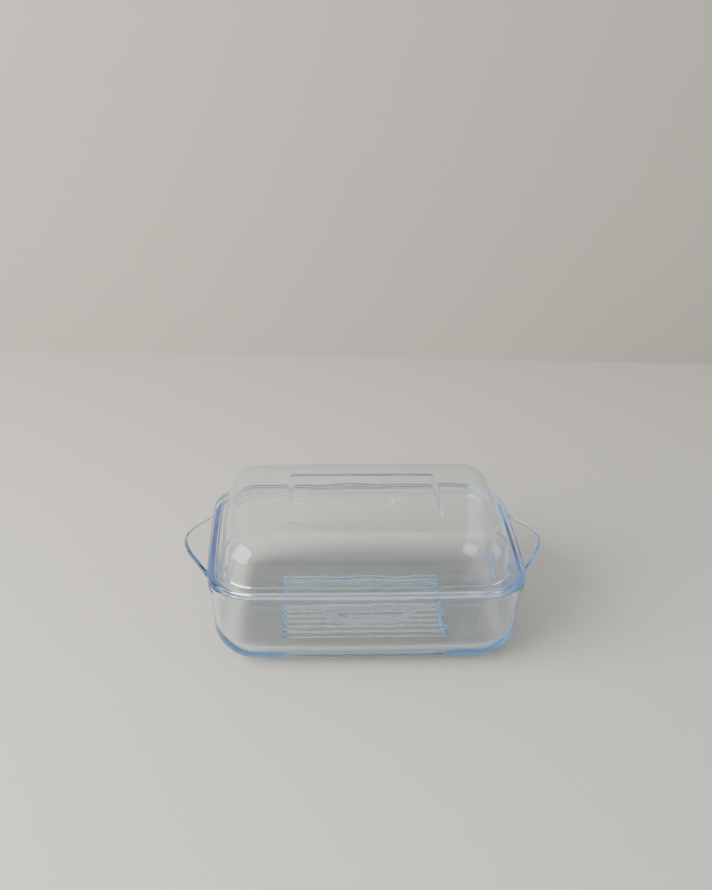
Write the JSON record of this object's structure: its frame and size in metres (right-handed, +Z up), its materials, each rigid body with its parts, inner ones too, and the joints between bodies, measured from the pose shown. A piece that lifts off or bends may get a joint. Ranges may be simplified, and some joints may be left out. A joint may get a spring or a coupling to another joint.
{
  "type": "covered_casserole_dish",
  "caption": "Rectangular casserole dish in clear, faintly blue pressed glass, with ear handles at its ends and a deep lift-off glass lid with a flat top panel",
  "frame": {"origin": "on the table, under the middle of the dish", "axes": "+X along the length from ear to ear, +Y across the dish, +Z up out of the lid"},
  "size_m": [0.3502, 0.22, 0.1295],
  "materials": {
    "dish_glass": "gloss",
    "lid_glass": "gloss"
  },
  "bodies": {
    "dish": {"dish": "dish_glass"},
    "lid": {"lid": "lid_glass"}
  },
  "joints": [
    {"name": "lid_lift", "type": "slide", "parent": "dish", "child": "lid", "axis": [0, 0, 1], "range_m": [0, 0.15]}
  ]
}
